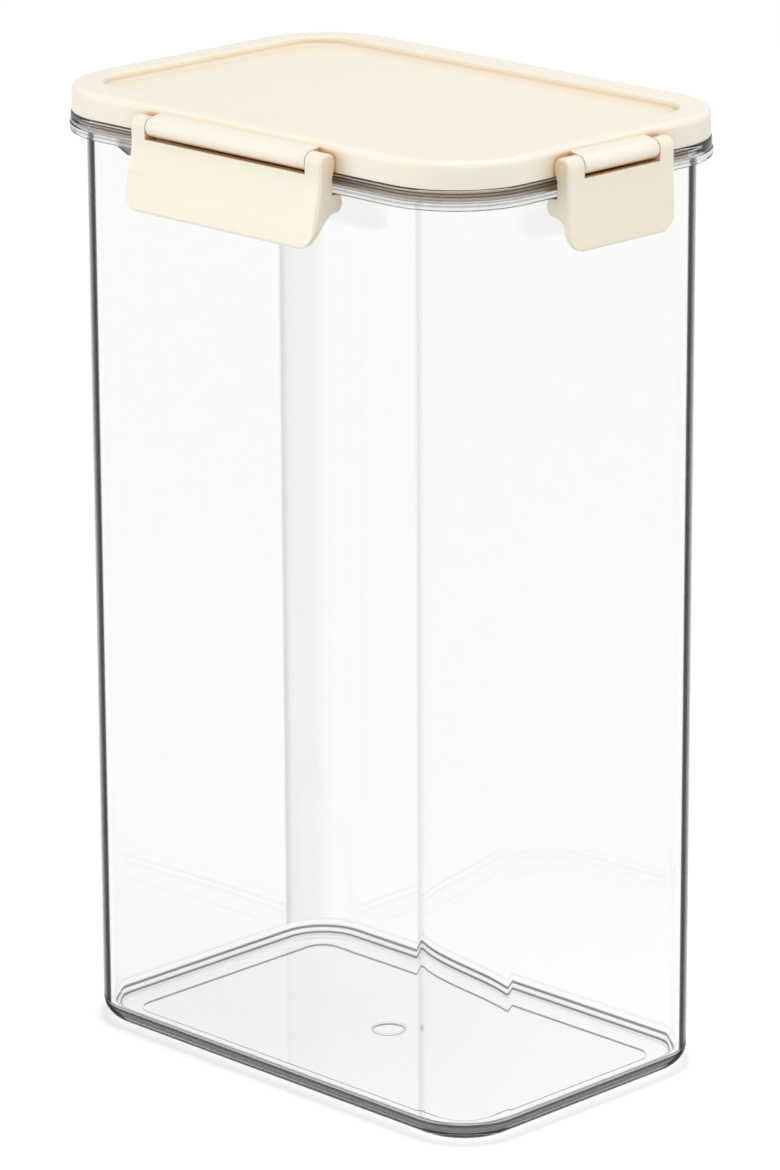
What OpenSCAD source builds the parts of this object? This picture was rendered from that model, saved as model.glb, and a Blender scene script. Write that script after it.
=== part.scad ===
/* [Container] */
// Outside width of the clear container at its rim, along X
body_w = 143.6; // [116:0.2:180]
// Outside depth of the clear container at its rim, along Y
body_d = 92.4; // [76:0.2:140]
// Height from the resting face to the underside of the rim
body_h = 240; // [90:1:320]
// Wall thickness at the rim
wall = 2; // [1.6:0.1:2.6]
// Thickness of the floor
floor_t = 2.4; // [1.8:0.1:4]
// Outside radius of the upright corners
corner_r = 16.9; // [13:0.1:22]
// Outside radius between the wall and the floor
base_r = 5.8; // [3:0.1:8]
// How much further in each outer wall stands at the base than at the rim
draft_out = 0.1; // [0:0.05:1]
// Extra wall thickness at the base, from the draft of the inside
draft_in = 0.5; // [0:0.05:1]

/* [Rim] */
// How far the rim stands out of the wall on the two short ends
rim_out_end = 3.6; // [3.4:0.1:6]
// How far the rim stands out of the wall on the two long sides
rim_out_side = 6; // [3.4:0.1:8]
// Outside radius of the rim's corners
rim_corner_r = 23.2; // [18:0.1:28]
// Height of the solid ledge at the top of the rim
ledge_h = 2.8; // [2:0.1:4]
// Height of the skirt that hangs from the ledge, where the latches catch
skirt_h = 2.2; // [1.6:0.1:4]
// Thickness of that skirt
skirt_t = 1.6; // [1.2:0.1:2]
// How far the skirt stands out past the ledge
skirt_step = 0.3; // [0.1:0.05:0.5]
// Height of the lip that rises from the wall into the lid's groove
lip_h = 1.6; // [1:0.1:2.2]

/* [Lid] */
// Height of the lid from its lower edge to its raised border
lid_h = 6.8; // [6:0.1:10]
// How far the lid's side stands in from the rim's edge
lid_inset = 0.6; // [0.3:0.05:1]
// Radius along the lid's upper outside edge
lid_edge_r = 1.7; // [0.8:0.1:2.5]
// Width of the raised border on the two short ends
border_end = 8.2; // [5:0.1:12]
// Width of the raised border on the two long sides
border_side = 9.6; // [6:0.1:12]
// Corner radius of the panel inside the border
recess_corner_r = 11.2; // [8:0.1:18]
// Depth of the panel below the raised border
recess_h = 2.2; // [1:0.1:2.6]
// Radius between the panel and the border's inner wall
recess_r = 1.2; // [0.6:0.1:1.5]
// Thickness of the panel
panel_t = 2; // [1.4:0.1:2.4]
// How far the plug reaches below the rim's top
plug_depth = 4; // [2:0.1:10]
// Thickness of the plug's wall
plug_t = 1.8; // [1.2:0.1:2.4]
// Thickness of the gasket
gasket_h = 2; // [1.4:0.1:2.4]
// Width of the groove that holds the gasket
groove_w = 3.7; // [3.4:0.1:4.2]

/* [Latches] */
// Width of the two latches on the long sides
wide_latch_w = 67.3; // [40:0.1:80]
// Width of the two latches on the short ends
narrow_latch_w = 37.5; // [28:0.1:46]
// Width of the ears at both ends of a latch
ear_w = 5.3; // [5:0.1:7]
// Distance from the lid's side out to the hinge axis
pivot_out = 2.7; // [2.6:0.05:3.4]
// Height of the hinge axis above the rim's top
pivot_up = 2.7; // [2.7:0.05:3.2]
// Radius of the latch's ears and of the lid's hinge barrels
barrel_r = 2.5; // [2.2:0.05:2.5]
// Radius of the hinge pins moulded on the ears
pin_r = 1.2; // [1:0.05:1.4]
// Length of each hinge pin
pin_l = 3; // [2:0.1:4]
// Thickness of the latch's plate
plate_t = 2.1; // [1.6:0.1:2.4]
// How far a latch reaches below the rim
latch_drop = 13.2; // [10:0.1:18]
// How far a wide latch's lower end stands out past its hinge barrel
wide_latch_lean = 3; // [0.3:0.1:4]
// How far a narrow latch's lower end stands out past its hinge barrel
narrow_latch_lean = 0.5; // [0.3:0.1:4]
// How far the hook reaches in from the lid's side
hook_reach = 2.1; // [1.6:0.1:2.3]
// Height of the hook
hook_h = 4.4; // [3.4:0.1:5]
// Radius of a latch's lower corners, seen from the front
latch_corner_r = 5.8; // [2:0.1:6.5]
// Radius along the upright edges of a latch's face
latch_edge_r = 1; // [0.5:0.1:1.5]

/* [Fits] */
// Gap between the lid's lower edge and the rim
lid_gap = 0.2; // [0.1:0.05:0.4]
// Gap between the plug and the inside of the container
plug_gap = 0.5; // [0.3:0.05:0.8]
// Gap between the gasket and each side of its groove
gasket_gap = 0.1; // [0.05:0.05:0.3]
// Radial gap between a hinge pin and its bore
pin_gap = 0.05; // [0.03:0.01:0.1]
// Gap between a barrel's end and the ear beside it
ear_gap = 0.3; // [0.2:0.05:0.5]
// Gap between a hook and the rim's skirt above it
hook_gap = 0.25; // [0.15:0.05:0.4]
// Gap between a latch's ears and the rim beside them
rim_gap = 0.55; // [0.4:0.05:0.8]

/* [Hidden] */
$fn = 96;
eps = 0.01;
curve_steps = 12;

clear = [0.86, 0.89, 0.9, 0.45];
cream = [0.96, 0.92, 0.84];
cream_latch = [0.95, 0.9, 0.81];
silicone = [0.93, 0.93, 0.9];

// heights
rim_top = body_h + skirt_h + ledge_h;
lip_top = rim_top + lip_h;
lid_bottom = rim_top + lid_gap;
lid_top = lid_bottom + lid_h;
panel_top = lid_top - recess_h;
panel_bottom = panel_top - panel_t;
groove_top = lip_top + gasket_h;
plug_bottom = rim_top - plug_depth;
pivot_z = rim_top + pivot_up;

// plan sizes
rim_w = body_w + 2 * rim_out_end;
rim_d = body_d + 2 * rim_out_side;
lid_w = rim_w - 2 * lid_inset;
lid_d = rim_d - 2 * lid_inset;
lid_corner_r = rim_corner_r - lid_inset;
recess_w = lid_w - 2 * border_end;
recess_d = lid_d - 2 * border_side;
plug_w = body_w - 2 * (wall + plug_gap);
plug_d = body_d - 2 * (wall + plug_gap);
plug_corner_r = corner_r - wall - plug_gap;

// details of the container
rim_edge_r = 0.5;
inner_base_r = 4;
lip_edge = 0.4;
stand_ring_w = 5.4;
stand_inset = draft_out + base_r + stand_ring_w;
stand_corner_r = max(corner_r - stand_inset, 3);
stand_recess = 0.6;
gate_r = 4.4;
gate_depth = 0.5;
stop_l = 8.4;
stop_ramp = 3.7;
stop_h = 1.6;
stop_from_latch = 1.4;

// latch section, measured from the hinge axis: first value outwards, second value upwards
front_u = barrel_r;
plate_u = front_u - plate_t;
ear_back_u = -pivot_out + lid_inset + rim_gap;
slit_h = 0.45;
plate_top_v = -barrel_r - slit_h;
hook_u = -pivot_out - hook_reach;
hook_top_v = body_h - hook_gap - pivot_z;
hook_low_v = hook_top_v - hook_h;
tip_v = body_h - latch_drop - pivot_z;
tip_r = 0.85;
edge_flats = [30, 60];

function arc(centre, r, a0, a1) =
    [for (i = [0:curve_steps]) let (a = a0 + (a1 - a0) * i / curve_steps) centre + r * [cos(a), sin(a)]];

function bezier(p0, p1, p2, p3) =
    [for (i = [0:curve_steps]) let (t = i / curve_steps, s = 1 - t)
        s * s * s * p0 + 3 * s * s * t * p1 + 3 * s * t * t * p2 + t * t * t * p3];

// A profile carried round a rectangle with rounded corners. The profile's x is measured outwards from
// the centre of the corner's arc, so x = r lies on the outline, and its y is the height.
module swept(w, d, r) {
    run_x = w - 2 * r;
    run_y = d - 2 * r;
    for (i = [0:3]) {
        side = i % 2 == 0 ? [run_x, run_y] : [run_y, run_x];
        rotate([0, 0, 90 * i]) {
            translate([side[0] / 2, side[1] / 2, 0])
                rotate_extrude(angle = 90)
                    children();
            translate([side[0] / 2, side[1] / 2, 0])
                rotate([90, 0, 0])
                    linear_extrude(side[1])
                        children();
        }
    }
}

// The same with its middle filled between two heights
module swept_solid(w, d, r, low, high) {
    swept(w, d, r)
        children();
    translate([r - w / 2, r - d / 2, low])
        cube([w - 2 * r, d - 2 * r, high - low]);
}

module rounded_outline(w, d, r) {
    square([w - 2 * r, d], center = true);
    square([w, d - 2 * r], center = true);
    for (x = [-1, 1], y = [-1, 1])
        translate([x * (w / 2 - r), y * (d / 2 - r)])
            circle(r);
}

module slab(w, d, r, low, high) {
    translate([0, 0, low])
        linear_extrude(high - low)
            rounded_outline(w, d, r);
}

// Section of the container: the floor from the corner's axis, the drafted wall and the lip
module wall_section() {
    foot_r = corner_r - draft_out;
    inner_r = corner_r - wall;
    inner_foot_r = foot_r - wall - draft_in;
    polygon(concat(
        [[0, 0]],
        arc([foot_r - base_r, base_r], base_r, -90, 0),
        [[corner_r, body_h], [corner_r, lip_top - lip_edge], [corner_r - lip_edge, lip_top],
         [inner_r + lip_edge, lip_top], [inner_r, lip_top - lip_edge], [inner_r, body_h]],
        arc([inner_foot_r - inner_base_r, floor_t + inner_base_r], inner_base_r, 0, -90),
        [[0, floor_t]]));
}

// Small lug under the rim that keeps a wide latch from shifting endways
module latch_stop() {
    translate([-wide_latch_w / 2 - stop_from_latch, -rim_d / 2 + skirt_t, body_h + eps])
        rotate([90, 0, 0])
            linear_extrude(skirt_t)
                polygon([[0, 0], [-stop_l, 0], [-stop_l + stop_ramp, -stop_h], [0, -stop_h]]);
}

// The rim round the container's mouth: a solid ledge, and a skirt that hangs from its edge
module rim() {
    ledge_r = rim_corner_r - skirt_step;
    ledge_z = body_h + skirt_h;
    skirt_in = rim_corner_r - skirt_t;
    difference() {
        union() {
            swept_solid(rim_w - 2 * skirt_step, rim_d - 2 * skirt_step, ledge_r, ledge_z, rim_top)
                polygon(concat(
                    [[0, ledge_z], [ledge_r, ledge_z]],
                    arc([ledge_r - rim_edge_r, rim_top - rim_edge_r], rim_edge_r, 0, 90),
                    [[0, rim_top]]));
            swept(rim_w, rim_d, rim_corner_r)
                polygon(concat(
                    [[skirt_in, body_h]],
                    arc([rim_corner_r - rim_edge_r, body_h + rim_edge_r], rim_edge_r, -90, 0),
                    [[rim_corner_r, ledge_z - 0.1], [ledge_r, ledge_z + 0.2], [skirt_in, ledge_z + 0.2]]));
        }
        slab(body_w - wall, body_d - wall, corner_r - wall / 2, body_h, rim_top + 1);
    }
}

module container() {
    color(clear)
        difference() {
            union() {
                swept_solid(body_w, body_d, corner_r, 0, floor_t)
                    wall_section();
                rim();
                for (turn = [0, 180])
                    rotate([0, 0, turn])
                        latch_stop();
            }
            slab(body_w - 2 * stand_inset, body_d - 2 * stand_inset, stand_corner_r, -1, stand_recess);
            translate([0, 0, stand_recess - eps])
                cylinder(h = gate_depth, r1 = gate_r, r2 = gate_r - 0.6);
        }
}

// Barrel on the lid's side, with the tongue that carries it, for a latch of the given width
module hinge_barrel(latch_w) {
    length = latch_w - 2 * (ear_w + ear_gap);
    root = [-pivot_out - 1, 3.2];
    reach = norm(root);
    slope = atan2(-root[1], -root[0]) + asin(barrel_r / reach);
    touch = root + sqrt(reach * reach - barrel_r * barrel_r) * [cos(slope), sin(slope)];
    difference() {
        rotate([90, 0, 0])
            translate([0, 0, -length / 2])
                linear_extrude(length) {
                    circle(barrel_r);
                    polygon([root, touch, [0, 0], [0, -barrel_r + 0.9], [root[0], -barrel_r + 0.9]]);
                }
        for (end = [-1, 1])
            translate([0, end * (length / 2 + eps), 0])
                rotate([end * 90, 0, 0])
                    cylinder(h = pin_l + 0.3, r = pin_r + pin_gap);
    }
}

// Places something drawn at the hinge axis on one side of the lid: 0 is +X, 1 is +Y, 2 is -X, 3 is -Y
module at_side(i) {
    rotate([0, 0, 90 * i])
        translate([(i % 2 == 0 ? lid_w : lid_d) / 2 + pivot_out, 0, pivot_z])
            children();
}

module lid() {
    color(cream)
        difference() {
            union() {
                swept_solid(lid_w, lid_d, lid_corner_r, lid_bottom, lid_top)
                    polygon(concat(
                        [[0, lid_bottom], [lid_corner_r, lid_bottom]],
                        arc([lid_corner_r - lid_edge_r, lid_top - lid_edge_r], lid_edge_r, 0, 90),
                        [[0, lid_top]]));
                slab(plug_w, plug_d, plug_corner_r, plug_bottom, lid_bottom + 1);
                for (i = [0:3])
                    at_side(i)
                        hinge_barrel(i % 2 == 0 ? narrow_latch_w : wide_latch_w);
            }
            swept_solid(recess_w, recess_d, recess_corner_r, panel_top, lid_top + 1)
                polygon(concat(
                    [[0, panel_top]],
                    arc([recess_corner_r - recess_r - 0.3, panel_top + recess_r], recess_r, -90, 0),
                    [[recess_corner_r, lid_top - 0.3], [recess_corner_r + 0.3, lid_top + eps],
                     [recess_corner_r + 0.3, lid_top + 1], [0, lid_top + 1]]));
            slab(plug_w - 2 * plug_t, plug_d - 2 * plug_t, plug_corner_r - plug_t,
                 plug_bottom - 1, panel_bottom);
            difference() {
                slab(plug_w + 2 * groove_w, plug_d + 2 * groove_w, plug_corner_r + groove_w,
                     lid_bottom - 1, groove_top);
                slab(plug_w, plug_d, plug_corner_r, plug_bottom - 2, lid_top);
            }
        }
}

// Silicone ring in the lid's groove, resting on the container's lip
module gasket() {
    inner_r = plug_corner_r + gasket_gap;
    width = groove_w - 2 * gasket_gap;
    outer_r = inner_r + width;
    round_r = 0.6;
    color(silicone)
        swept(plug_w + 2 * (gasket_gap + width), plug_d + 2 * (gasket_gap + width), outer_r)
            polygon(concat(
                [[inner_r, groove_top]],
                arc([inner_r + round_r, lip_top + round_r], round_r, 180, 270),
                arc([outer_r - round_r, lip_top + round_r], round_r, -90, 0),
                [[outer_r, groove_top]]));
}

// Centre of the rounding along a latch's lower edge, for a latch whose lower end stands out by lean
function tip_centre(lean) = [front_u + lean - tip_r, tip_v + tip_r];

// Line of a latch's face from below its hinge down to its lower edge
function face_line(lean) =
    bezier([front_u, plate_top_v - 1], [front_u, plate_top_v - 4],
           [front_u + 0.6 * lean, tip_v + 8], tip_centre(lean) + tip_r * [cos(11), sin(11)]);

// Outline of a latch's section: face, lower edge, finger hollow, hook and plate
module hook_section(lean) {
    tip = tip_centre(lean);
    hollow = [plate_u + 0.4, hook_low_v - 1.7];
    hook_floor = [hook_u + 1.9, hook_low_v];
    nose = [hook_u, hook_top_v - 2.1];
    polygon(concat(
        [[plate_u, plate_top_v], [front_u, plate_top_v]],
        face_line(lean),
        arc(tip, tip_r, 5, -170),
        bezier(tip + [-tip_r, 0.6], tip + [-tip_r - 0.1 * lean, 3.1],
               hollow + [0.43 * lean, -1.5], hollow),
        bezier(hollow, hollow + [-1.1, 1.1], hook_floor + [1.5, -0.1], hook_floor),
        bezier(hook_floor, hook_floor + [-1.3, 0.1], nose + [-0.1, -1], nose),
        bezier(nose, nose + [0.1, 1], nose + [0.4, 1.8], [hook_u + 0.8, hook_top_v]),
        [[plate_u - 0.6, hook_top_v], [plate_u, hook_top_v + 0.6]]));
}

// Section of an ear: the same, filled back towards the lid and rounded over the hinge axis
module ear_section(lean) {
    hook_section(lean);
    circle(barrel_r);
    polygon([[front_u, 0], [front_u, plate_top_v - 1], [plate_u, hook_top_v - 1],
             [ear_back_u, hook_top_v - 1], [ear_back_u, -1.4 * barrel_r],
             [-barrel_r, -0.3 * barrel_r], [-barrel_r, 0]]);
}

// A length of the latch's section, centred on the given place along its width
module along(length, middle) {
    translate([0, middle, 0])
        rotate([90, 0, 0])
            translate([0, 0, -length / 2])
                linear_extrude(length)
                    children();
}

// Front view of a latch with rounded corners, as a block
module front_outline(latch_w, lean) {
    ear_corner_r = 1.2;
    height = barrel_r - tip_v;
    translate([hook_u - 1, 0, 0])
        rotate([90, 0, 90])
            linear_extrude(front_u + lean - hook_u + 2)
                front_view(latch_w, height, ear_corner_r);
}

// The flat shape of that view: wide corners below, small ones above
module front_view(latch_w, height, ear_corner_r) {
    translate([-latch_w / 2, tip_v + latch_corner_r])
        square([latch_w, height - latch_corner_r - ear_corner_r]);
    translate([-latch_w / 2 + latch_corner_r, tip_v])
        square([latch_w - 2 * latch_corner_r, height]);
    translate([-latch_w / 2 + ear_corner_r, 0])
        square([latch_w - 2 * ear_corner_r, barrel_r]);
    for (side = [-1, 1]) {
        translate([side * (latch_w / 2 - latch_corner_r), tip_v + latch_corner_r])
            circle(latch_corner_r);
        translate([side * (latch_w / 2 - ear_corner_r), barrel_r - ear_corner_r])
            circle(ear_corner_r);
    }
}

// One flat of the rounding along a latch's upright edge: all that lies behind the face's line when it is
// looked at from the given angle, for a latch that reaches half_w to that side
module edge_flat(angle, half_w, lean) {
    shift = half_w * sin(angle) + latch_edge_r * (1 - cos(angle) - sin(angle));
    line = concat(arc([0, 0], barrel_r, 90, 0), face_line(lean), arc(tip_centre(lean), tip_r, 5, -90));
    far = -2 * half_w - 20;
    rotate([0, 0, angle])
        rotate([90, 0, 0])
            translate([0, 0, far])
                linear_extrude(-2 * far)
                    polygon(concat(
                        [[far, tip_v], [far, barrel_r]],
                        [for (p = line) [p[0] * cos(angle) + shift, p[1]]]));
}

// A latch drawn at its hinge axis, with +X outwards and its width along Y
module latch(latch_w, lean) {
    half_w = latch_w / 2;
    intersection() {
        union() {
            along(latch_w, 0)
                hook_section(lean);
            for (end = [-1, 1])
                along(ear_w, end * (half_w - ear_w / 2))
                    ear_section(lean);
        }
        front_outline(latch_w, lean);
        intersection_for(angle = edge_flats)
            edge_flat(angle, half_w, lean);
        intersection_for(angle = edge_flats)
            mirror([0, 1, 0])
                edge_flat(angle, half_w, lean);
    }
    for (end = [-1, 1])
        translate([0, end * (half_w - ear_w + 0.2), 0])
            rotate([end * 90, 0, 0])
                cylinder(h = pin_l + 0.2, r = pin_r);
}

module latch_right() {
    color(cream_latch)
        at_side(0)
            latch(narrow_latch_w, narrow_latch_lean);
}

module latch_back() {
    color(cream_latch)
        at_side(1)
            latch(wide_latch_w, wide_latch_lean);
}

module latch_left() {
    color(cream_latch)
        at_side(2)
            latch(narrow_latch_w, narrow_latch_lean);
}

module latch_front() {
    color(cream_latch)
        at_side(3)
            latch(wide_latch_w, wide_latch_lean);
}

container();
lid();
gasket();
latch_front();
latch_back();
latch_left();
latch_right();
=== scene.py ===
"""Looks of a tall clear food container with a cream clip-lock lid."""
import math

import bmesh
import bpy
from mathutils import Matrix, Vector


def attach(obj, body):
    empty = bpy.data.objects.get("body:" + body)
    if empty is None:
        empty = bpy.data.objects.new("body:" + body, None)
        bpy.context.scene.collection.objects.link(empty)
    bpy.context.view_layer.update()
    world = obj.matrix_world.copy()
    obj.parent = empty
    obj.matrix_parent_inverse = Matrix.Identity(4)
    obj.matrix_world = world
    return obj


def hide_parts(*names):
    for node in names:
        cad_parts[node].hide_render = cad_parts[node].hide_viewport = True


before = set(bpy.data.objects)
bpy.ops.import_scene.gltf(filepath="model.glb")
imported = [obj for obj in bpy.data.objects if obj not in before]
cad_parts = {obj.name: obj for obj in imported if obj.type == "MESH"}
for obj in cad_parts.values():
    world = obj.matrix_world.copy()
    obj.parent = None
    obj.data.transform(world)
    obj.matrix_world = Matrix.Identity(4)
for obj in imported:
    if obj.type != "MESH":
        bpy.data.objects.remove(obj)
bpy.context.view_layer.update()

MM = 0.001

# Sizes of the clear container, as in the CAD model
BODY_HALF = (71.8 * MM, 46.2 * MM)
BODY_CORNER = 16.9 * MM
WALL = 2.0 * MM
DRAFT_OUT = 0.1 * MM
DRAFT_IN = 0.5 * MM
FLOOR = 2.4 * MM
BASE_R = 5.8 * MM
INNER_BASE_R = 4.0 * MM
STAND_INSET = 11.3 * MM
STAND_CORNER = 5.6 * MM
STAND_RECESS = 0.6 * MM
GATE_R = 4.4 * MM
GATE_DEPTH = 0.5 * MM
RIM_HALF = (75.4 * MM, 52.2 * MM)
RIM_CORNER = 23.2 * MM
RIM_LOW = 240.0 * MM
LEDGE_LOW = 242.2 * MM
RIM_TOP = 245.0 * MM
LIP_TOP = 246.6 * MM
SKIRT_T = 1.6 * MM
SKIRT_STEP = 0.3 * MM
RIM_EDGE = 0.5 * MM
LIP_EDGE = 0.4 * MM

# Small lug under the rim on each long side: its ends along X, the length of its ramp, its depth, how far it
# is let down from the rim and how dark it is painted as shade
LUG_START = -35.05 * MM
LUG_END = -43.45 * MM
LUG_RAMP = 3.7 * MM
LUG_DROP = 1.6 * MM
LUG_LET_DOWN = 0.01 * MM
LUG_SHADE = 0.55

# Steps of the round parts: a quarter turn round a corner, the outer and inner foot, and the rim's edges
CORNER_STEPS = 28
FOOT_STEPS = 45
INNER_FOOT_STEPS = 36
RIM_EDGE_STEPS = 6

# How near two points are made one, and from how many degrees on an edge is shaded as a sharp one
WELD_DISTANCE = 0.0001 * MM
SHARP_ANGLE = 40

# How far a step under the floor leans, and the flat bands beside each curve and step, which keep its
# smooth shading off the plain walls and the floor
STEP_LEAN = 0.05 * MM
FLAT = 0.4 * MM
INNER_FLAT = 1.4 * MM

# Colour of the clear plastic, and of the dull dark that its painted shade on edges and lines is drawn with
CLEAR_COLOUR = (0.95, 0.95, 0.949, 1)
PAINTED_SHADE_COLOUR = (0.01, 0.01, 0.01, 1)

# How much of the clear plastic's edge is painted as dark shade, by how far it turns away from the eye
EDGE_SHADE_RAMP = [(0.5, 0.0), (0.552, 0.1), (0.572, 1.0), (0.617, 1.0), (0.64, 0.94), (0.688, 0.89),
             (0.73, 0.8), (0.784, 0.63), (0.856, 0.38), (1.0, 0.0)]

# Share of that painted shade on the body's corners and on the rim's, and how fast it grows round a corner
BODY_EDGES = 1.0
RIM_EDGES = 0.22
EDGE_GROWTH = 1.6

# Cosine of the eye's slope for which the ramp above holds, close to that of the photo's view, and the
# least cosine that is divided by
PHOTO_LEVEL = 0.945
LEAST_LEVEL = 0.05

# Painted grey lines of shade along the inner curve between wall and floor: angle from the wall, half width,
# darkness
FOOT_SHADE_LINES = [(5, 6, 0.14), (34, 9.5, 0.95), (61, 9, 0.95), (76, 6, 0.25)]

# Painted ring of shade on the floor over the gate mark: distance out from the mark's edge, darkness
GATE_SHADE_RING = [(0.6 * MM, 0.0), (0.15 * MM, 0.14), (-0.15 * MM, 0.14), (-0.6 * MM, 0.0)]

# Painted dark band of shade on the outer curve between wall and floor: angle down from the wall, darkness
FOOT_SHADE_BAND = [(0, 0.65), (2, 0.4), (4, 0.3), (6, 0.8), (8, 0.9), (12, 0.86), (17, 0.74), (22, 0.82),
             (27, 0.82), (31, 0.6), (45, 0.45), (61, 0.3), (72, 0.0), (90, 0.0)]

# Painted lines of shade on the outside of the rim: on the skirt's lower edge (height up the rim, half
# width, darkness), up its side (height up the rim, darkness), and the darkness of its upper edge
SKIRT_SHADE_LINE = (0.15 * MM, 0.4 * MM, 0.55)
RIM_SHADE_LINES = [(0.85 * MM, 0.1), (1.3 * MM, 0.5), (1.75 * MM, 0.1), (2.1 * MM, 0.65), (2.4 * MM, 0.3),
             (3.1 * MM, 0.35), (3.5 * MM, 0.85), (3.9 * MM, 0.4), (4.3 * MM, 0.95)]
LEDGE_SHADE = 0.3

# Corners by quarter turn from +X +Y: the one at the camera's right, where the rim's painted lines of shade
# fade by a share as painted light, and the far and near ones, with painted soft grey streaks of shade up
# the body (angle from the streak's end of the corner, darkness)
LIT_QUARTER = 0
LIT_FADE = 0.55
FAR_QUARTER = 1
FAR_SHADE_STREAK = [(0, 0.0), (3.2, 0.32), (6.4, 0.25), (9.7, 0.16), (12.9, 0.12), (19, 0.1), (38, 0.09),
              (58, 0.0), (90, 0.0)]
NEAR_QUARTER = 3
NEAR_SHADE_STREAK = [(0, 0.0), (3.2, 0.17), (6.4, 0.1), (9.7, 0.02), (16, 0.0), (90, 0.0)]

# Part of a noise's range over which a colour drifts to the next one
DRIFT_RANGE = (0.3, 0.7)

# Cream plastics: the two colours that each drifts between, how rough each is, and the scale of the drift
LID_COLOURS = ((0.87, 0.81, 0.7), (0.885, 0.825, 0.725))
LID_ROUGHNESS = 0.4
LATCH_COLOURS = ((0.855, 0.78, 0.655), (0.87, 0.795, 0.675))
LATCH_ROUGHNESS = 0.36
CREAM_DRIFT = 14

# Their moulded grain: its scale, detail, height and strength, and how far it shifts the roughness
GRAIN_SCALE = 2600
GRAIN_DETAIL = 3
GRAIN_HEIGHT = 0.05 * MM
GRAIN_STRENGTH = 0.06
GRAIN_SHIFT = (-0.05, 0.07)

# Silicone of the gasket: the two colours that it drifts between, and the scale of the drift
SILICONE_COLOURS = ((0.78, 0.76, 0.72), (0.82, 0.8, 0.76))
SILICONE_DRIFT = 60

# Painted shade on the cream plastic by how open to the sky a place is within a reach: gaps and inner
# corners are painted darker and warmer, as light in a gap turns warm
GAP_REACH = 11 * MM
GAP_SHADE_RAMP = [(0.08, (0.72, 0.42, 0.2)), (0.45, (0.82, 0.65, 0.44)), (0.75, (0.92, 0.85, 0.73)),
             (0.92, (1.0, 1.0, 1.0))]

# Least part along X or Y of a direction that counts as a flat face
FLAT_FACE = 0.97

# Floor: its size and how far it lies under the container, its painted contact shadow by the distance from
# 10 mm inside the container's outline to 10 mm outside it, its glow over the first metre, its paper under
# that glow, and the colour of the light that it throws back on the object
FLOOR_SIZE = 24
FLOOR_DROP = 0.05 * MM
CONTACT_SPAN = 10 * MM
CONTACT_SHADOW_RAMP = [(0.15, 1.0), (0.42, 0.85), (0.5, 0.8), (0.56, 0.92), (0.64, 1.0)]
GLOW_RAMP = [(0.02, 0.83), (0.15, 0.795), (0.9, 0.818)]
PAPER = (0.24, 0.24, 0.24, 1)
BOUNCE = (0.75, 0.75, 0.74, 1)

# World light on the object
SKY_COLOUR = (1.0, 0.99, 0.97, 1)
SKY_STRENGTH = 0.5

# Lamps: place, height over the object's middle that each points at, side in metres, power in watts
LAMPS = {
    "key": ((-1.0, -1.15, 0.4), 0.22, 0.9, 7.9),
    "fill": ((1.0, -1.0, 0.35), 0.22, 0.9, 5.4),
    "side": ((1.2, 1.0, 0.35), 0.22, 0.9, 2.9),
    "top": ((0.35, 0.15, 1.6), 0.25, 1.0, 11.9),
}

# Camera, fitted to the outlines in the photograph
CAMERA_AIM = Vector((0, 0, 0.12))
CAMERA_AZIMUTH = 44.98
CAMERA_ELEVATION = 16.83
CAMERA_DISTANCE = 1.4858
CAMERA_LENS = 178.06
CAMERA_SENSOR = 36
CAMERA_TILT = 0.129
CAMERA_ROLL = -0.248


def new_material(name):
    """An empty node material, with its tree and its Principled shader."""
    material = bpy.data.materials.new(name)
    material.use_nodes = True
    tree = material.node_tree
    tree.nodes.clear()
    output = tree.nodes.new("ShaderNodeOutputMaterial")
    shader = tree.nodes.new("ShaderNodeBsdfPrincipled")
    tree.links.new(shader.outputs["BSDF"], output.inputs["Surface"])
    return material, tree, shader


def ramp(tree, stops, value):
    """The shade at a value along a ramp of greys or colours from (position, shade) pairs."""
    node = tree.nodes.new("ShaderNodeValToRGB")
    elements = node.color_ramp.elements
    while len(elements) < len(stops):
        elements.new(0.5)
    for element, (position, shade) in zip(elements, stops):
        element.position = position
        element.color = (*shade, 1) if isinstance(shade, tuple) else (shade, shade, shade, 1)
    tree.links.new(value, node.inputs["Fac"])
    return node.outputs["Color"]


def calculate(tree, operation, first, second=0.0):
    """A math node's result from two numbers or outputs."""
    node = tree.nodes.new("ShaderNodeMath")
    node.operation = operation
    for place, value in enumerate((first, second)):
        if isinstance(value, (int, float)):
            node.inputs[place].default_value = value
        else:
            tree.links.new(value, node.inputs[place])
    return node.outputs["Value"]


def noise(tree, scale, detail=2):
    """A noise over the object's own places."""
    place = tree.nodes.new("ShaderNodeTexCoord")
    node = tree.nodes.new("ShaderNodeTexNoise")
    node.inputs["Scale"].default_value = scale
    node.inputs["Detail"].default_value = detail
    tree.links.new(place.outputs["Object"], node.inputs["Vector"])
    return node.outputs["Fac"]


def drift(tree, colours, scale):
    """A soft drift between two colours."""
    return ramp(tree, list(zip(DRIFT_RANGE, colours)), noise(tree, scale))


def facing_share(tree, direction=None):
    """Cosine between the eye's line and the surface's direction, or another one."""
    weight = tree.nodes.new("ShaderNodeLayerWeight")
    weight.inputs["Blend"].default_value = 0.5
    if direction is not None:
        tree.links.new(direction, weight.inputs["Normal"])
    return calculate(tree, "SUBTRACT", 1.0, weight.outputs["Facing"])


def turned_away(tree):
    """How far an upright surface turns away from the eye, whatever height the eye looks from."""
    up = tree.nodes.new("ShaderNodeCombineXYZ")
    up.inputs["Z"].default_value = 1.0
    toward = facing_share(tree)
    rise = facing_share(tree, up.outputs["Vector"])
    rise_squared = calculate(tree, "MULTIPLY", rise, rise)
    level = calculate(tree, "SQRT", calculate(tree, "SUBTRACT", 1.0, rise_squared))
    level_toward = calculate(tree, "DIVIDE", toward, calculate(tree, "MAXIMUM", level, LEAST_LEVEL))
    return calculate(tree, "SUBTRACT", 1.0, calculate(tree, "MULTIPLY", level_toward, PHOTO_LEVEL))


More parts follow.
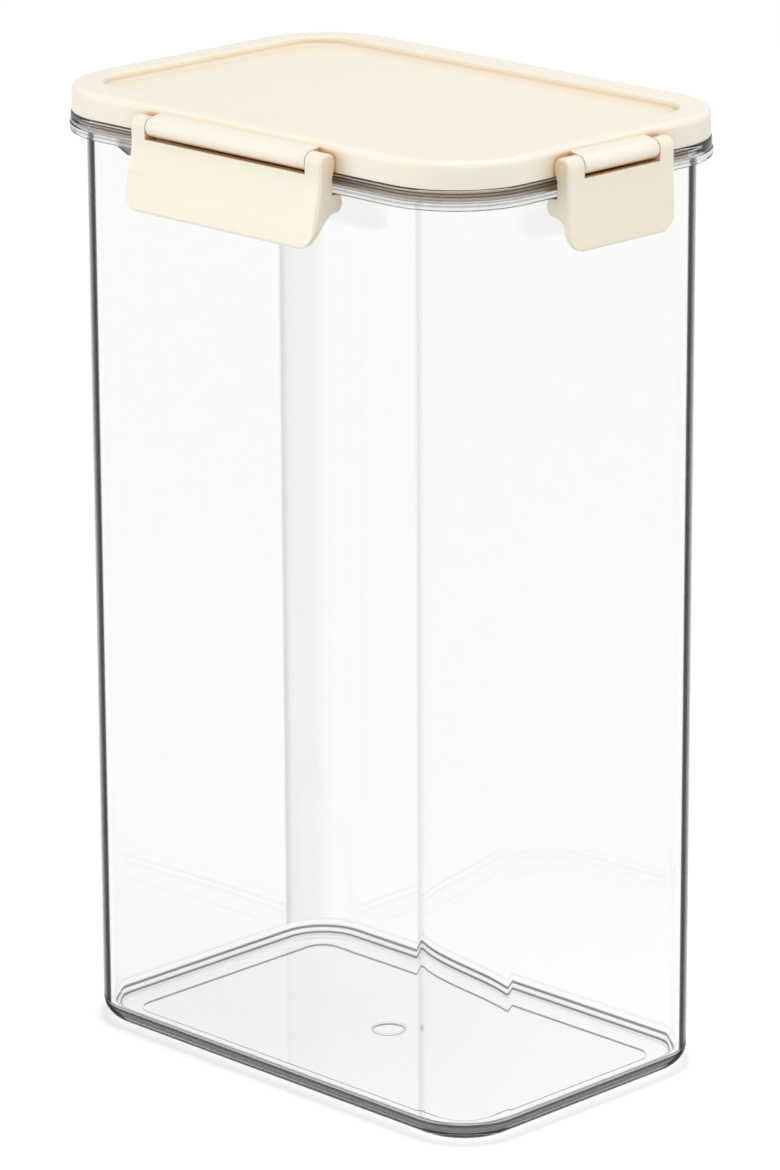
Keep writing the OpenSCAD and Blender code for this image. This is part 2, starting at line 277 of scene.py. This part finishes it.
def plain_faces(tree):
    """The surface's direction, taken from the face itself where that lies near the object's X or Y."""
    surface = tree.nodes.new("ShaderNodeNewGeometry")
    local = tree.nodes.new("ShaderNodeVectorTransform")
    local.vector_type = "NORMAL"
    local.convert_from = "WORLD"
    local.convert_to = "OBJECT"
    tree.links.new(surface.outputs["True Normal"], local.inputs["Vector"])
    parts = tree.nodes.new("ShaderNodeSeparateXYZ")
    tree.links.new(local.outputs["Vector"], parts.inputs["Vector"])
    along = [calculate(tree, "ABSOLUTE", parts.outputs[axis]) for axis in ("X", "Y")]
    chosen = tree.nodes.new("ShaderNodeMix")
    chosen.data_type = "VECTOR"
    flat = calculate(tree, "GREATER_THAN", calculate(tree, "MAXIMUM", *along), FLAT_FACE)
    tree.links.new(flat, chosen.inputs["Factor"])
    tree.links.new(surface.outputs["Normal"], chosen.inputs["A"])
    tree.links.new(surface.outputs["True Normal"], chosen.inputs["B"])
    return chosen.outputs["Result"]


def painted_gap_shade(tree):
    """Painted warm shade in gaps and inner corners."""
    open_sky = tree.nodes.new("ShaderNodeAmbientOcclusion")
    open_sky.samples = 6
    open_sky.inputs["Distance"].default_value = GAP_REACH
    surface = tree.nodes.new("ShaderNodeNewGeometry")
    tree.links.new(surface.outputs["True Normal"], open_sky.inputs["Normal"])
    return ramp(tree, GAP_SHADE_RAMP, open_sky.outputs["AO"])


def moulded_plastic(name, colours, roughness):
    """Satin cream plastic: faint colour drift, painted warm shade in gaps, fine moulded grain, a little
    light inside.
    """
    material, tree, shader = new_material(name)
    nodes, links = tree.nodes, tree.links
    # the drifting cream colour darkened by the painted warm shade in gaps
    gap_shaded_colour = nodes.new("ShaderNodeMix")
    gap_shaded_colour.data_type = "RGBA"
    gap_shaded_colour.blend_type = "MULTIPLY"
    gap_shaded_colour.inputs["Factor"].default_value = 1.0
    links.new(drift(tree, colours, CREAM_DRIFT), gap_shaded_colour.inputs["A"])
    links.new(painted_gap_shade(tree), gap_shaded_colour.inputs["B"])
    links.new(gap_shaded_colour.outputs["Result"], shader.inputs["Base Color"])
    grain = noise(tree, GRAIN_SCALE, GRAIN_DETAIL)
    gloss = nodes.new("ShaderNodeMapRange")
    gloss.inputs["To Min"].default_value = roughness + GRAIN_SHIFT[0]
    gloss.inputs["To Max"].default_value = roughness + GRAIN_SHIFT[1]
    links.new(grain, gloss.inputs["Value"])
    links.new(gloss.outputs["Result"], shader.inputs["Roughness"])
    bump = nodes.new("ShaderNodeBump")
    bump.inputs["Strength"].default_value = GRAIN_STRENGTH
    bump.inputs["Distance"].default_value = GRAIN_HEIGHT
    links.new(grain, bump.inputs["Height"])
    links.new(bump.outputs["Normal"], shader.inputs["Normal"])
    shader.inputs["IOR"].default_value = 1.49
    shader.inputs["Subsurface Weight"].default_value = 0.25
    shader.inputs["Subsurface Radius"].default_value = (1.0, 0.65, 0.4)
    shader.inputs["Subsurface Scale"].default_value = 3.5 * MM
    return material


def latch_plastic():
    """The latches' cream plastic, shaded by their own faces where they are nearly flat, because smoothed
    shading draws a line along the CAD mesh's long thin triangles."""
    material = moulded_plastic("latch_plastic", LATCH_COLOURS, LATCH_ROUGHNESS)
    tree = material.node_tree
    tree.links.new(plain_faces(tree), tree.nodes["Bump"].inputs["Normal"])
    return material


def clear_plastic():
    """Clear plastic whose curved edges are painted dark as shade where they turn away from the eye, as
    thick edges look that pass light on inside themselves, with thin grey lines of painted shade where the
    moulding's inner edges gather light."""
    material, tree, glass = new_material("clear_plastic")
    nodes, links = tree.nodes, tree.links
    glass.inputs["Base Color"].default_value = CLEAR_COLOUR
    glass.inputs["Roughness"].default_value = 0.02
    glass.inputs["IOR"].default_value = 1.5
    glass.inputs["Transmission Weight"].default_value = 1.0
    # dull dark shader that the painted shade is drawn with
    painted_dark_shader = nodes.new("ShaderNodeBsdfPrincipled")
    painted_dark_shader.inputs["Base Color"].default_value = PAINTED_SHADE_COLOUR
    painted_dark_shader.inputs["Roughness"].default_value = 0.7
    painted_dark_shader.inputs["Specular IOR Level"].default_value = 0.0
    painted = {}
    for name in ("edge", "line"):
        attribute = nodes.new("ShaderNodeAttribute")
        attribute.attribute_name = name
        painted[name] = attribute.outputs["Fac"]
    side = nodes.new("ShaderNodeNewGeometry")
    front = calculate(tree, "SUBTRACT", 1.0, side.outputs["Backfacing"])
    # painted shade: dark edges by how far they turn away, and painted lines on the side facing out
    edges = calculate(tree, "MULTIPLY", ramp(tree, EDGE_SHADE_RAMP, turned_away(tree)), painted["edge"])
    lines = calculate(tree, "MULTIPLY", painted["line"], front)
    both = nodes.new("ShaderNodeMixShader")
    links.new(calculate(tree, "MAXIMUM", edges, lines), both.inputs["Fac"])
    links.new(glass.outputs["BSDF"], both.inputs[1])
    links.new(painted_dark_shader.outputs["BSDF"], both.inputs[2])
    links.new(both.outputs["Shader"], nodes["Material Output"].inputs["Surface"])
    return material


def silicone():
    """Soft whitish silicone."""
    material, tree, shader = new_material("gasket_silicone")
    tree.links.new(drift(tree, SILICONE_COLOURS, SILICONE_DRIFT), shader.inputs["Base Color"])
    shader.inputs["Roughness"].default_value = 0.55
    shader.inputs["Subsurface Weight"].default_value = 0.3
    shader.inputs["Subsurface Scale"].default_value = 2 * MM
    return material


def ring(half, corner, z):
    """Points of a rectangle with rounded corners, each with its quarter and its share of that turn."""
    points = []
    for quarter in range(4):
        sign_x = 1 if quarter in (0, 3) else -1
        sign_y = 1 if quarter in (0, 1) else -1
        centre = Vector((sign_x * (half[0] - corner), sign_y * (half[1] - corner), z))
        for step in range(CORNER_STEPS + 1):
            turn = step / CORNER_STEPS
            angle = math.radians(90 * (quarter + turn))
            points.append((centre + corner * Vector((math.cos(angle), math.sin(angle), 0)), quarter, turn))
    return points


def band(turn):
    """Weight that rises from both ends of a quarter turn."""
    return min(1.0, EDGE_GROWTH * math.sin(math.pi * turn))


def hump(value, middle, width, height):
    """A soft peak: its height at the middle, nothing a width or more away."""
    away = abs(value - middle) / width
    return height * (0.5 + 0.5 * math.cos(math.pi * away)) if away < 1 else 0.0


def between(stops, place):
    """Value at a place along straight lines through (place, value) stops."""
    for (low, start), (high, end) in zip(stops, stops[1:]):
        if place <= high:
            return start + (end - start) * (place - low) / (high - low)
    return stops[-1][1]


def round_off(centre, radius, start, stop, steps):
    """(distance out, height, share of the turn) along an arc of a section, angles in degrees."""
    places = []
    for step in range(steps + 1):
        turn = step / steps
        angle = math.radians(start + (stop - start) * turn)
        places.append((centre[0] + radius * math.cos(angle), centre[1] + radius * math.sin(angle), turn))
    return places


def container_levels():
    """The container's section as (half sizes, corner radius, height, line, edges) from the underside's
    middle out, up and over the rim, and down the inside to the floor's middle. Line is how dark the whole
    level is painted as shade, and edges how far its corners take part in the painted dark edges of shade."""
    levels = []

    def add(half, corner, z, line=0.0, edges=0.0):
        levels.append((half, corner, z, line, edges))

    def body(out, z, line=0.0, edges=0.0):
        inset = BODY_CORNER - out
        add((BODY_HALF[0] - inset, BODY_HALF[1] - inset), out, z, line, edges)

    def rim(out, z, line=0.0):
        inset = RIM_CORNER - out
        add((RIM_HALF[0] - inset, RIM_HALF[1] - inset), out, z, line, RIM_EDGES)

    def stepped(half, corner, low, high):
        """A step up towards the middle, with a flat band on each side."""
        for out, z in ((-STEP_LEAN - FLAT, high), (-STEP_LEAN, high), (0.0, low), (FLAT, low)):
            add((half[0] + out, half[1] + out), corner + out, z)

    stepped((GATE_R, GATE_R), GATE_R, STAND_RECESS, STAND_RECESS + GATE_DEPTH)
    stepped((BODY_HALF[0] - STAND_INSET, BODY_HALF[1] - STAND_INSET), STAND_CORNER, 0.0, STAND_RECESS)

    foot = BODY_CORNER - DRAFT_OUT
    # painted dark band of shade on the outer foot
    for out, z, turn in round_off((foot - BASE_R, BASE_R), BASE_R, -90, 0, FOOT_STEPS):
        body(out, z, between(FOOT_SHADE_BAND, 90 - 90 * turn), BODY_EDGES if turn == 1 else 0.0)
    body(foot, BASE_R + FLAT, 0.0, BODY_EDGES)
    body(BODY_CORNER, LEDGE_LOW, 0.0, BODY_EDGES)

    rim(RIM_CORNER - SKIRT_T, LEDGE_LOW)
    rim(RIM_CORNER - SKIRT_T, RIM_LOW)
    # painted lines of shade on the rim's lower edge, up its side and on its upper edge
    low_centre = (RIM_CORNER - RIM_EDGE, RIM_LOW + RIM_EDGE)
    for out, z, _ in round_off(low_centre, RIM_EDGE, -90, 0, RIM_EDGE_STEPS):
        rim(out, z, hump(z - RIM_LOW, *SKIRT_SHADE_LINE))
    for height, line in RIM_SHADE_LINES:
        z = RIM_LOW + height
        rim(RIM_CORNER if z < LEDGE_LOW else RIM_CORNER - SKIRT_STEP, z, line)
    top_centre = (RIM_CORNER - SKIRT_STEP - RIM_EDGE, RIM_TOP - RIM_EDGE)
    for out, z, _ in round_off(top_centre, RIM_EDGE, 0, 90, RIM_EDGE_STEPS):
        rim(out, z, LEDGE_SHADE)

    body(BODY_CORNER, RIM_TOP, 0.0, BODY_EDGES)
    body(BODY_CORNER, LIP_TOP - LIP_EDGE, 0.0, BODY_EDGES)
    body(BODY_CORNER - LIP_EDGE, LIP_TOP, 0.0, BODY_EDGES)
    inner = BODY_CORNER - WALL
    body(inner + LIP_EDGE, LIP_TOP)
    body(inner, LIP_TOP - LIP_EDGE)
    body(inner, RIM_LOW)

    inner_foot = foot - WALL - DRAFT_IN
    body(inner_foot, FLOOR + INNER_BASE_R + FLAT)
    inner_centre = (inner_foot - INNER_BASE_R, FLOOR + INNER_BASE_R)
    for out, z, turn in round_off(inner_centre, INNER_BASE_R, 0, -90, INNER_FOOT_STEPS):
        # painted grey lines of shade along the inner curve
        body(out, z, sum(hump(90 * turn, *foot_line) for foot_line in FOOT_SHADE_LINES))
    body(inner_foot - INNER_BASE_R - INNER_FLAT, FLOOR)
    # painted ring of shade over the gate mark
    for out, line in GATE_SHADE_RING:
        add((GATE_R + out, GATE_R + out), GATE_R + out, FLOOR, line)
    return levels


def streak(quarter, angle):
    """Painted soft grey streak of shade where a corner's curve starts, for the far and the near corner in
    the camera's view.
    """
    if quarter == FAR_QUARTER:
        return between(FAR_SHADE_STREAK, 90 - angle)
    if quarter == NEAR_QUARTER:
        return between(NEAR_SHADE_STREAK, angle)
    return 0.0


def painted_shade_at(level_line, half, z, quarter, turn):
    """How dark a point of a level is painted as shade, with the rim's lines lightened round the lit corner
    as painted light and painted grey streaks of shade up the body.
    """
    on_rim = half[0] > BODY_HALF[0]
    # painted light: the rim's painted lines fade round the lit corner
    if on_rim and quarter == LIT_QUARTER:
        return level_line * (1 - LIT_FADE * band(turn))
    # painted grey streaks of shade up the body at the far and near corners
    if not on_rim and BASE_R <= z <= LEDGE_LOW:
        return max(level_line, streak(quarter, 90 * turn))
    return level_line


def lofted(name, levels, material):
    """A closed mesh through rings of rising or falling levels, with values for its painted dark edges and
    lines of shade.
    """
    mesh = bpy.data.meshes.new(name)
    bm = bmesh.new()
    painted_edge_shade = bm.verts.layers.float.new("edge")
    painted_line_shade = bm.verts.layers.float.new("line")
    rings = []
    for half, corner, z, line, edges in levels:
        row = []
        for point, quarter, turn in ring(half, corner, z):
            vertex = bm.verts.new(point)
            vertex[painted_edge_shade] = edges * band(turn)
            vertex[painted_line_shade] = painted_shade_at(line, half, z, quarter, turn)
            row.append(vertex)
        rings.append(row)
    count = len(rings[0])
    for lower, upper in zip(rings, rings[1:]):
        for i in range(count):
            j = (i + 1) % count
            bm.faces.new((lower[i], lower[j], upper[j], upper[i]))
    bm.faces.new(list(reversed(rings[0])))
    bm.faces.new(rings[-1])
    bmesh.ops.remove_doubles(bm, verts=bm.verts, dist=WELD_DISTANCE)
    bmesh.ops.recalc_face_normals(bm, faces=bm.faces)
    add_lugs(bm)
    bm.to_mesh(mesh)
    bm.free()
    for polygon in mesh.polygons:
        polygon.use_smooth = True
    mesh.set_sharp_from_angle(angle=math.radians(SHARP_ANGLE))
    mesh.materials.append(material)
    piece = bpy.data.objects.new(name, mesh)
    bpy.context.scene.collection.objects.link(piece)
    return piece


def add_lugs(bm):
    """The small ramped lug under the rim at one end of each wide latch, painted dark as shade."""
    painted_line_shade = bm.verts.layers.float["line"]
    outline = [(LUG_START, 0.0), (LUG_END, 0.0), (LUG_END + LUG_RAMP, -LUG_DROP), (LUG_START, -LUG_DROP)]
    for turn in (1, -1):
        rows = []
        for inset in (0.0, SKIRT_T):
            y = inset - RIM_HALF[1]
            rows.append([bm.verts.new((turn * x, turn * y, RIM_LOW + drop - LUG_LET_DOWN))
                         for x, drop in outline])
        outer, inner = rows
        faces = []
        for i in range(4):
            j = (i + 1) % 4
            faces.append(bm.faces.new((outer[i], outer[j], inner[j], inner[i])))
        faces.append(bm.faces.new(outer))
        faces.append(bm.faces.new(list(reversed(inner))))
        # the lug painted dark as shade
        for vertex in outer + inner:
            vertex[painted_line_shade] = LUG_SHADE
        bmesh.ops.recalc_face_normals(bm, faces=faces)


def make_container():
    """The clear container, with finer curves than its CAD solid."""
    piece = lofted("clear_container", container_levels(), clear_plastic())
    piece.visible_shadow = False
    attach(piece, "container")
    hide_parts("container")


def repaint(node, material):
    """Gives a CAD node one material."""
    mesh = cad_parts[node].data
    mesh.materials.clear()
    mesh.materials.append(material)


def seen_rays(tree):
    """1 for rays that show the surroundings: straight from the camera, mirrored or through glass."""
    path = tree.nodes.new("ShaderNodeLightPath")
    direct = calculate(tree, "MAXIMUM", path.outputs["Is Camera Ray"], path.outputs["Is Glossy Ray"])
    return calculate(tree, "MAXIMUM", direct, path.outputs["Is Transmission Ray"])


def vector_step(tree, operation, vector, constant=None):
    """A vector math node on an output, with or without a constant."""
    node = tree.nodes.new("ShaderNodeVectorMath")
    node.operation = operation
    tree.links.new(vector, node.inputs[0])
    if constant is not None:
        node.inputs[1].default_value = constant
    return node


def foot_distance(tree):
    """How far a place on the floor lies outside the rectangle through the centres of the corners."""
    place = tree.nodes.new("ShaderNodeTexCoord")
    centres = (BODY_HALF[0] - BODY_CORNER, BODY_HALF[1] - BODY_CORNER, 0)
    folded = vector_step(tree, "ABSOLUTE", place.outputs["Object"])
    past = vector_step(tree, "SUBTRACT", folded.outputs["Vector"], centres)
    kept = vector_step(tree, "MAXIMUM", past.outputs["Vector"], (0, 0, 0))
    return vector_step(tree, "LENGTH", kept.outputs["Vector"]).outputs["Value"]


def along_range(tree, value, low, high, stops):
    """A grey ramp over a value's range."""
    span = tree.nodes.new("ShaderNodeMapRange")
    span.inputs["From Min"].default_value = low
    span.inputs["From Max"].default_value = high
    tree.links.new(value, span.inputs["Value"])
    return ramp(tree, stops, span.outputs["Result"])


def make_floor():
    """A pale floor that reads as white, with the object's shadow and a soft dark line of painted contact
    shadow where it stands.
    """
    bpy.ops.mesh.primitive_plane_add(size=FLOOR_SIZE, location=(0, 0, -FLOOR_DROP))
    floor = bpy.context.object
    floor.name = "floor"
    material, tree, shader = new_material("floor_white")
    nodes, links = tree.nodes, tree.links
    away = foot_distance(tree)
    # painted contact shadow round the container's outline, darkening the floor's paper and glow
    painted_contact_shadow = along_range(tree, away, BODY_CORNER - CONTACT_SPAN, BODY_CORNER + CONTACT_SPAN, CONTACT_SHADOW_RAMP)
    paper = nodes.new("ShaderNodeMix")
    paper.data_type = "RGBA"
    paper.inputs["A"].default_value = (0, 0, 0, 1)
    paper.inputs["B"].default_value = PAPER
    links.new(painted_contact_shadow, paper.inputs["Factor"])
    links.new(paper.outputs["Result"], shader.inputs["Base Color"])
    shader.inputs["Roughness"].default_value = 0.9
    glow = nodes.new("ShaderNodeEmission")
    links.new(painted_contact_shadow, glow.inputs["Color"])
    links.new(along_range(tree, away, 0.0, 1.0, GLOW_RAMP), glow.inputs["Strength"])
    seen = nodes.new("ShaderNodeAddShader")
    links.new(shader.outputs["BSDF"], seen.inputs[0])
    links.new(glow.outputs["Emission"], seen.inputs[1])
    bounce = nodes.new("ShaderNodeBsdfDiffuse")
    bounce.inputs["Color"].default_value = BOUNCE
    choice = nodes.new("ShaderNodeMixShader")
    links.new(seen_rays(tree), choice.inputs["Fac"])
    links.new(bounce.outputs["BSDF"], choice.inputs[1])
    links.new(seen.outputs["Shader"], choice.inputs[2])
    links.new(choice.outputs["Shader"], nodes["Material Output"].inputs["Surface"])
    floor.data.materials.append(material)


def make_world():
    """White to the eye, and a soft even light on the object."""
    world = bpy.data.worlds.new("studio")
    bpy.context.scene.world = world
    world.use_nodes = True
    tree = world.node_tree
    tree.nodes.clear()
    output = tree.nodes.new("ShaderNodeOutputWorld")
    light = tree.nodes.new("ShaderNodeBackground")
    light.inputs["Color"].default_value = SKY_COLOUR
    light.inputs["Strength"].default_value = SKY_STRENGTH
    white = tree.nodes.new("ShaderNodeBackground")
    white.inputs["Strength"].default_value = 1.0
    choice = tree.nodes.new("ShaderNodeMixShader")
    tree.links.new(seen_rays(tree), choice.inputs["Fac"])
    tree.links.new(light.outputs["Background"], choice.inputs[1])
    tree.links.new(white.outputs["Background"], choice.inputs[2])
    tree.links.new(choice.outputs["Shader"], output.inputs["Surface"])


def add_lamp(name, place, aim_height, size, watts):
    """A soft square lamp that points at a height over the object's middle."""
    data = bpy.data.lights.new(name, "AREA")
    data.size = size
    data.energy = watts
    lamp = bpy.data.objects.new(name, data)
    lamp.location = place
    lamp.rotation_mode = "QUATERNION"
    lamp.rotation_quaternion = (Vector((0, 0, aim_height)) - Vector(place)).to_track_quat("-Z", "Y")
    lamp.visible_camera = False
    lamp.visible_transmission = False
    bpy.context.scene.collection.objects.link(lamp)


def make_camera():
    """The photograph's camera."""
    data = bpy.data.cameras.new("camera")
    data.lens = CAMERA_LENS
    data.sensor_width = CAMERA_SENSOR
    camera = bpy.data.objects.new("camera", data)
    bpy.context.scene.collection.objects.link(camera)
    azimuth, elevation = math.radians(CAMERA_AZIMUTH), math.radians(CAMERA_ELEVATION)
    back = Vector((math.sin(azimuth) * math.cos(elevation), -math.cos(azimuth) * math.cos(elevation),
                   math.sin(elevation)))
    aimed = (-back).to_track_quat("-Z", "Y").to_matrix().to_4x4()
    lean = Matrix.Rotation(math.radians(CAMERA_TILT), 4, "X")
    roll = Matrix.Rotation(math.radians(CAMERA_ROLL), 4, "Z")
    camera.matrix_world = Matrix.Translation(CAMERA_AIM + CAMERA_DISTANCE * back) @ aimed @ lean @ roll
    bpy.context.scene.camera = camera


make_camera()
make_world()
make_floor()
for lamp_name, lamp_values in LAMPS.items():
    add_lamp(lamp_name, *lamp_values)

repaint("lid", moulded_plastic("lid_plastic", LID_COLOURS, LID_ROUGHNESS))
repaint("gasket", silicone())
latch_cream = latch_plastic()
for node in ("latch_front", "latch_back", "latch_left", "latch_right"):
    repaint(node, latch_cream)
make_container()

bpy.context.scene.view_settings.view_transform = "Standard"
